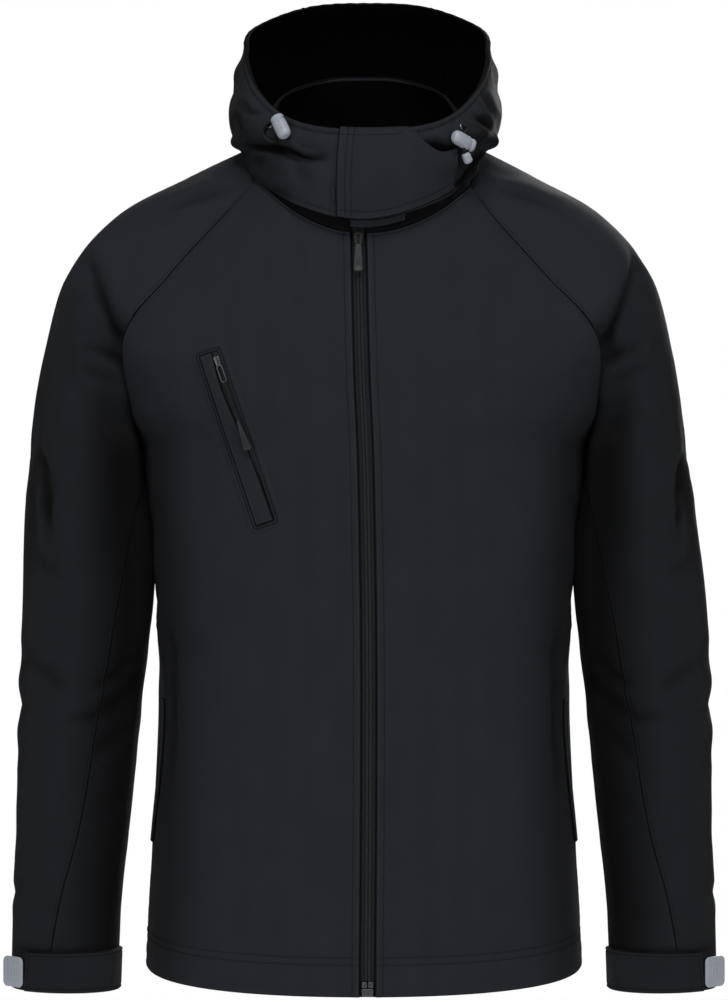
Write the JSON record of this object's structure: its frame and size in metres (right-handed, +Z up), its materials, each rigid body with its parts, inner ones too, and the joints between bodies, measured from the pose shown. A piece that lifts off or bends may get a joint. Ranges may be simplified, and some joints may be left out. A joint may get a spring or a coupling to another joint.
{
  "type": "softshell jacket",
  "caption": "Hooded softshell jacket, filled out as worn, with raglan sleeves, a full-length zip, a zipped chest pocket, side hand pockets and cuff tabs.",
  "frame": {"origin": "mount wearer: the middle of the neck opening, level with the shoulder line", "axes": "+Z up, -Y the front of the jacket, +X the wearer's left"},
  "size_m": [0.6412, 0.2981, 0.8979],
  "materials": {
    "softshell": "matt bonded softshell, black",
    "tape": "woven tape, black",
    "coil": "moulded coil, black",
    "hardware": "satin dark grey",
    "steel": "bright nickel",
    "grey": "moulded, mid grey",
    "cord": "braided elastic cord, black"
  },
  "bodies": {
    "jacket": {"front_left": "softshell", "front_right": "softshell", "back": "softshell", "upper_sleeve_left": "softshell", "upper_sleeve_right": "softshell", "under_sleeve_left": "softshell", "under_sleeve_right": "softshell", "cuff_tab_left": "softshell", "cuff_tab_right": "softshell", "collar": "softshell", "hood_side_left": "softshell", "hood_side_right": "softshell", "hood_centre": "softshell", "chin_tab": "softshell", "chin_underlap": "softshell", "label_tab": "tape", "zip_tape_left": "tape", "zip_tape_right": "tape", "zip_coil": "coil", "zip_slider": "hardware", "zip_box": "steel", "chest_welt": "softshell", "chest_zip": "coil", "chest_slider": "hardware", "hand_welt_left": "softshell", "hand_welt_right": "softshell", "cuff_end_left": "grey", "cuff_end_right": "grey", "eyelet_left": "hardware", "eyelet_right": "hardware", "cord_lock_left": "grey", "cord_lock_right": "grey", "cord_left": "cord", "cord_end_left": "cord", "cord_right": "cord", "cord_bead_left": "grey"},
    "zip_pull": {"zip_pull": "hardware"},
    "chest_pull": {"chest_pull": "hardware"}
  },
  "joints": [
    {"name": "zip_pull_swing", "type": "hinge", "parent": "jacket", "child": "zip_pull", "pos_m": [-0.00493, -0.10896, -0.07032], "axis": [1, -0.0082, 0], "range_deg": [-95, 0]},
    {"name": "chest_pull_swing", "type": "hinge", "parent": "jacket", "child": "chest_pull", "pos_m": [-0.12536, -0.12022, -0.18578], "axis": [0.9228, -0.215, 0.3198], "range_deg": [-120, 0]}
  ]
}
